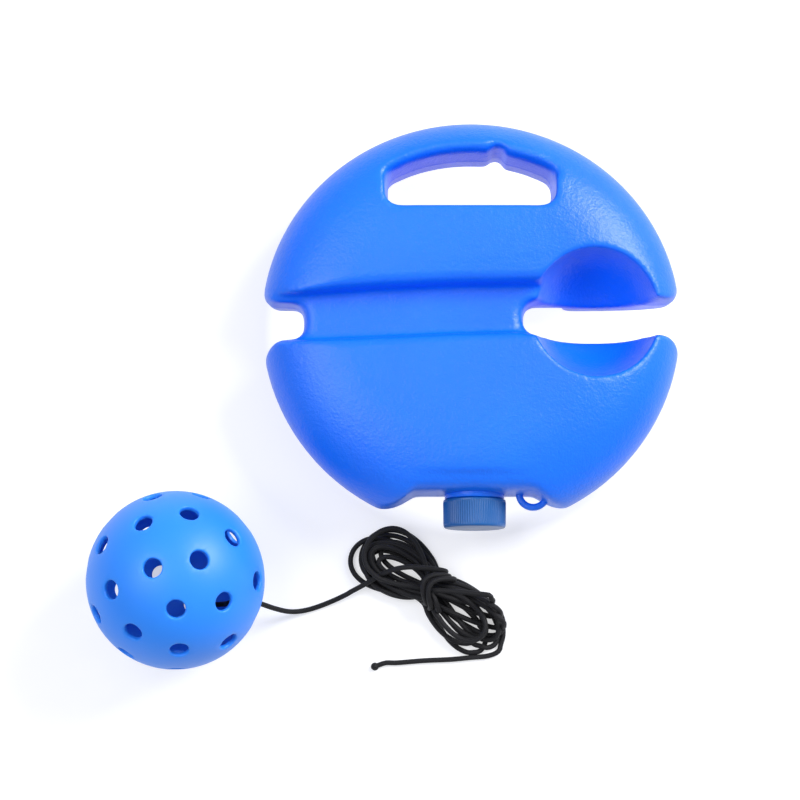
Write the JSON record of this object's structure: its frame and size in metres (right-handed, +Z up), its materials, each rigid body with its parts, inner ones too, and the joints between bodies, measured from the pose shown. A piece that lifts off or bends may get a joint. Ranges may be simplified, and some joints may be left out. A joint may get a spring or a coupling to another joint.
{
  "type": "rope rebounder",
  "caption": "Hollow round blue base with a screw cap, carrying handle and cord slots, and a perforated practice ball on a long elastic cord.",
  "frame": {"origin": "middle of the footprint of base and ball together, on the ground that they lie on", "axes": "+Z up, out of the base's front face; +Y from the filler cap towards the carrying handle; +X to the right, towards the open end of the cord slot"},
  "size_m": [0.2447, 0.2302, 0.0737],
  "materials": {
    "tank_blue": "blow-moulded polyethylene, fine grain, slightly translucent",
    "cap_blue": "satin moulded plastic",
    "liner_white": "pressed foam disc",
    "ball_blue": "smooth moulded plastic",
    "cord_black": "braided sleeve over an elastic core"
  },
  "bodies": {
    "base": {"base_tank": "tank_blue", "cord_in_ball": "cord_black", "ball_knot": "cord_black", "cord_lead": "cord_black", "cord_binding": "cord_black", "cord_hank": "cord_black", "cord_tail": "cord_black", "cord_end_bead": "cord_black"},
    "liner": {"cap_liner": "liner_white"},
    "cap": {"filler_cap": "cap_blue"},
    "ball": {"ball": "ball_blue"}
  },
  "joints": [
    {"name": "cap_lift", "type": "slide", "parent": "base", "child": "liner", "axis": [0, -1, 0], "range_m": [0, 0.0112]},
    {"name": "cap_turn", "type": "hinge", "parent": "liner", "child": "cap", "pos_m": [0.03655, -0.05125, 0.024], "axis": [0, -1, 0], "range_deg": [0, 1260]},
    {"name": "ball_swivel", "type": "hinge", "parent": "base", "child": "ball", "pos_m": [-0.08655, -0.07865, 0.0366], "axis": [0.8255, -0.202, -0.5271], "continuous": true}
  ],
  "couplings": [
    {"joint": "cap_lift", "follows": "cap_turn", "m_per_rad": 0.0005093}
  ]
}
